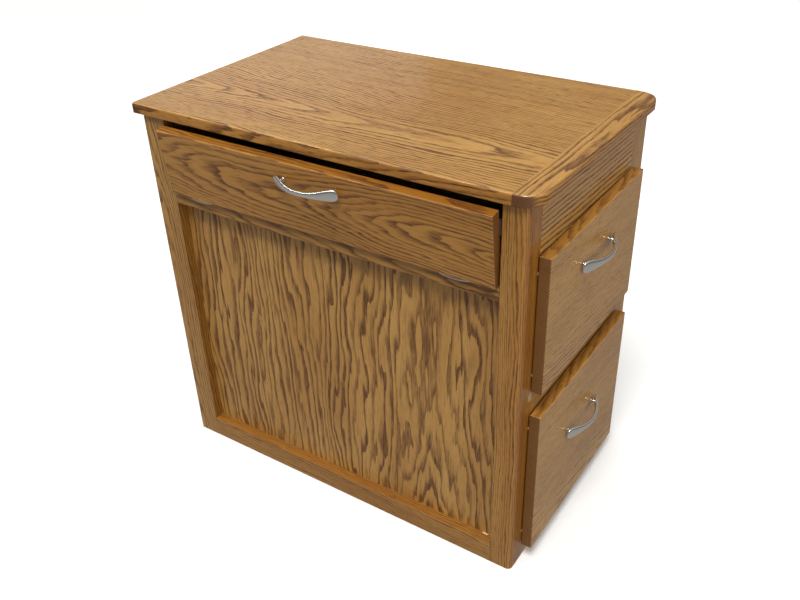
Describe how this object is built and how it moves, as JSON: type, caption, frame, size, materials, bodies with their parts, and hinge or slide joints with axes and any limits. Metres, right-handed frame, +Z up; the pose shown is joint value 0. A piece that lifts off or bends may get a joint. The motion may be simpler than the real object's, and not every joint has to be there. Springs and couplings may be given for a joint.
{
  "type": "book drop box",
  "caption": "Oak cabinet with a tilt-out return flap under the top, a ramp behind it and side drawers on telescopic slides.",
  "frame": {"origin": "middle of the case footprint on the floor, at the underside of the floor panel", "axes": "+X along the front towards the drawer side, -Y out of the front with the flap, +Z up"},
  "size_m": [0.795, 0.5026, 0.714],
  "materials": {
    "stained_oak": "golden oak stain under satin varnish",
    "oak_veneer": "rotary-cut oak veneer plywood, stained and varnished",
    "birch": "clear lacquered light hardwood and plywood",
    "satin_nickel": "satin nickel plate",
    "hinge_steel": "bright zinc plate",
    "plated_steel": "zinc plated steel",
    "bumper_rubber": "translucent soft dots"
  },
  "bodies": {
    "cabinet": {"top_panel": "stained_oak", "top_end_band": "stained_oak", "front_left_stile": "stained_oak", "front_right_stile": "stained_oak", "corner_post": "stained_oak", "front_mid_rail": "stained_oak", "front_bottom_rail": "stained_oak", "front_panel": "oak_veneer", "left_side_panel": "oak_veneer", "side_apron": "stained_oak", "side_mid_rail": "stained_oak", "side_bottom_rail": "stained_oak", "side_rear_stile": "stained_oak", "bottom_panel": "oak_veneer", "back_panel": "oak_veneer", "chute_ramp": "stained_oak", "corner_blocks": "birch", "upper_near_cleat": "birch", "upper_far_cleat": "birch", "lower_near_cleat": "birch", "lower_far_cleat": "birch", "left_hinge_sill_leaf": "hinge_steel", "right_hinge_sill_leaf": "hinge_steel", "sill_leaf_screws": "plated_steel", "hinge_pins": "hinge_steel", "left_stay_keeper": "plated_steel", "right_stay_keeper": "plated_steel", "upper_cabinet_slides": "plated_steel", "lower_cabinet_slides": "plated_steel"},
    "flap": {"flap_board": "stained_oak", "left_hinge_flap_leaf": "hinge_steel", "right_hinge_flap_leaf": "hinge_steel", "flap_leaf_screws": "plated_steel", "left_quadrant_stay": "plated_steel", "right_quadrant_stay": "plated_steel", "flap_pull": "satin_nickel", "flap_pull_screws": "plated_steel"},
    "upper_drawer": {"upper_drawer_front": "stained_oak", "upper_inner_front": "birch", "upper_near_side": "birch", "upper_far_side": "birch", "upper_box_back": "birch", "upper_box_floor": "birch", "upper_bumpers": "bumper_rubber", "upper_pull": "satin_nickel", "upper_pull_screws": "plated_steel", "upper_drawer_slides": "plated_steel"},
    "upper_middle": {"upper_middle_slides": "plated_steel"},
    "lower_drawer": {"lower_drawer_front": "stained_oak", "lower_inner_front": "birch", "lower_near_side": "birch", "lower_far_side": "birch", "lower_box_back": "birch", "lower_box_floor": "birch", "lower_bumpers": "bumper_rubber", "lower_pull": "satin_nickel", "lower_pull_screws": "plated_steel", "lower_drawer_slides": "plated_steel"},
    "lower_middle": {"lower_middle_slides": "plated_steel"}
  },
  "joints": [
    {"name": "flap_hinge", "type": "hinge", "parent": "cabinet", "child": "flap", "pos_m": [0, -0.22, 0.5605], "axis": [1, 0, 0], "range_deg": [-7, 33]},
    {"name": "upper_drawer_slide", "type": "slide", "parent": "cabinet", "child": "upper_drawer", "axis": [1, 0, 0], "range_m": [0, 0.6]},
    {"name": "upper_middle_slide", "type": "slide", "parent": "cabinet", "child": "upper_middle", "axis": [1, 0, 0], "range_m": [0, 0.3]},
    {"name": "lower_drawer_slide", "type": "slide", "parent": "cabinet", "child": "lower_drawer", "axis": [1, 0, 0], "range_m": [0, 0.6]},
    {"name": "lower_middle_slide", "type": "slide", "parent": "cabinet", "child": "lower_middle", "axis": [1, 0, 0], "range_m": [0, 0.3]}
  ],
  "couplings": [
    {"joint": "upper_middle_slide", "follows": "upper_drawer_slide", "ratio": 0.5},
    {"joint": "lower_middle_slide", "follows": "lower_drawer_slide", "ratio": 0.5}
  ]
}
